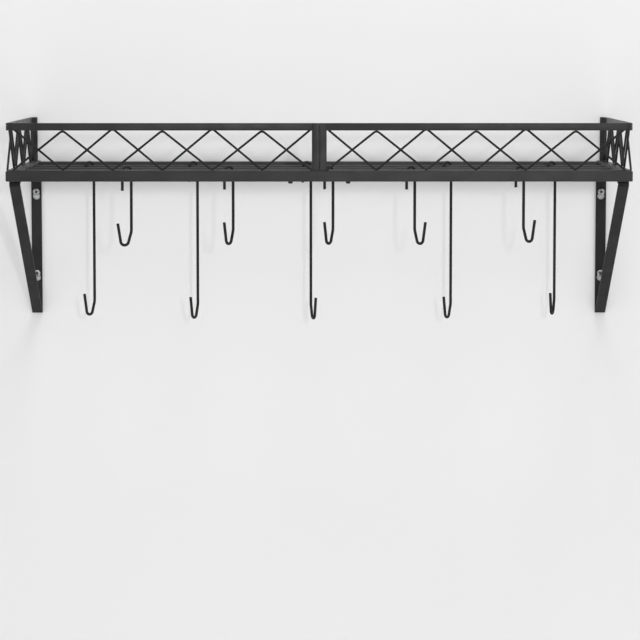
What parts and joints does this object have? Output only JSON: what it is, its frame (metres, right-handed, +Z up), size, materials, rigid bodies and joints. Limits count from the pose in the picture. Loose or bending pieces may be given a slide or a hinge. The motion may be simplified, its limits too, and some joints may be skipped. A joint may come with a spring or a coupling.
{
  "type": "wall mounted pot rack",
  "caption": "Wall mounted shelf of square tube with a lattice gallery, two keyhole brackets and loose S-hooks that swing from the rods of its deck.",
  "frame": {"origin": "middle of the four wall screws, on the wall", "axes": "+X to the right along the wall, +Y into the wall, +Z up"},
  "size_m": [0.846, 0.368, 0.289],
  "materials": {
    "base_black": "satin black powder coat",
    "gallery_black": "satin black powder coat",
    "bracket_black": "satin black powder coat",
    "hook_black": "satin black powder coat",
    "bolt_black": "black oxide",
    "screw_zinc": "bright zinc plate"
  },
  "bodies": {
    "rack": {"base_end_tube_left": "base_black", "base_end_tube_right": "base_black", "base_front_tube": "base_black", "base_rear_tube": "base_black", "bracket_bolts": "bolt_black", "bracket_strap_left": "bracket_black", "bracket_strap_right": "bracket_black", "bracket_wall_bar_left": "bracket_black", "bracket_wall_bar_right": "bracket_black", "deck_rod_front": "base_black", "deck_rod_middle": "base_black", "deck_rod_rear": "base_black", "front_zigzag_inner_left": "gallery_black", "front_zigzag_inner_right": "gallery_black", "front_zigzag_outer_left": "gallery_black", "front_zigzag_outer_right": "gallery_black", "gallery_bottom_strip_front_left": "gallery_black", "gallery_bottom_strip_front_right": "gallery_black", "gallery_bottom_strip_side_left": "gallery_black", "gallery_bottom_strip_side_right": "gallery_black", "gallery_centre_post_left": "gallery_black", "gallery_centre_post_right": "gallery_black", "gallery_rear_post_left": "gallery_black", "gallery_rear_post_right": "gallery_black", "gallery_screws": "bolt_black", "gallery_top_rail_left": "gallery_black", "gallery_top_rail_right": "gallery_black", "side_zigzag_inner_left": "gallery_black", "side_zigzag_inner_right": "gallery_black", "side_zigzag_outer_left": "gallery_black", "side_zigzag_outer_right": "gallery_black", "wall_screws": "screw_zinc"},
    "hook_short_1": {"hook_short_1": "hook_black"},
    "hook_short_2": {"hook_short_2": "hook_black"},
    "hook_short_3": {"hook_short_3": "hook_black"},
    "hook_short_4": {"hook_short_4": "hook_black"},
    "hook_short_5": {"hook_short_5": "hook_black"},
    "hook_long_1": {"hook_long_1": "hook_black"},
    "hook_long_2": {"hook_long_2": "hook_black"},
    "hook_long_3": {"hook_long_3": "hook_black"},
    "hook_long_4": {"hook_long_4": "hook_black"},
    "hook_long_5": {"hook_long_5": "hook_black"}
  },
  "joints": [
    {"name": "hook_short_1_swing", "type": "hinge", "parent": "rack", "child": "hook_short_1", "pos_m": [-0.2658, -0.2404, 0.1003], "axis": [1, 0, 0], "range_deg": [-60, 60]},
    {"name": "hook_short_2_swing", "type": "hinge", "parent": "rack", "child": "hook_short_2", "pos_m": [-0.1249, -0.2404, 0.1003], "axis": [1, 0, 0], "range_deg": [-60, 60]},
    {"name": "hook_short_3_swing", "type": "hinge", "parent": "rack", "child": "hook_short_3", "pos_m": [0.0134, -0.2404, 0.1003], "axis": [1, 0, 0], "range_deg": [-60, 60]},
    {"name": "hook_short_4_swing", "type": "hinge", "parent": "rack", "child": "hook_short_4", "pos_m": [0.1266, -0.2404, 0.1003], "axis": [1, 0, 0], "range_deg": [-60, 60]},
    {"name": "hook_short_5_swing", "type": "hinge", "parent": "rack", "child": "hook_short_5", "pos_m": [0.2774, -0.2404, 0.1003], "axis": [1, 0, 0], "range_deg": [-60, 60]},
    {"name": "hook_long_1_swing", "type": "hinge", "parent": "rack", "child": "hook_long_1", "pos_m": [-0.3298, -0.0896, 0.1003], "axis": [1, 0, 0], "range_deg": [-60, 20]},
    {"name": "hook_long_2_swing", "type": "hinge", "parent": "rack", "child": "hook_long_2", "pos_m": [-0.1807, -0.0896, 0.1003], "axis": [1, 0, 0], "range_deg": [-60, 20]},
    {"name": "hook_long_3_swing", "type": "hinge", "parent": "rack", "child": "hook_long_3", "pos_m": [-0.0174, -0.0896, 0.1003], "axis": [1, 0, 0], "range_deg": [-60, 20]},
    {"name": "hook_long_4_swing", "type": "hinge", "parent": "rack", "child": "hook_long_4", "pos_m": [0.1845, -0.0896, 0.1003], "axis": [1, 0, 0], "range_deg": [-60, 20]},
    {"name": "hook_long_5_swing", "type": "hinge", "parent": "rack", "child": "hook_long_5", "pos_m": [0.3343, -0.0896, 0.1003], "axis": [1, 0, 0], "range_deg": [-60, 20]}
  ]
}
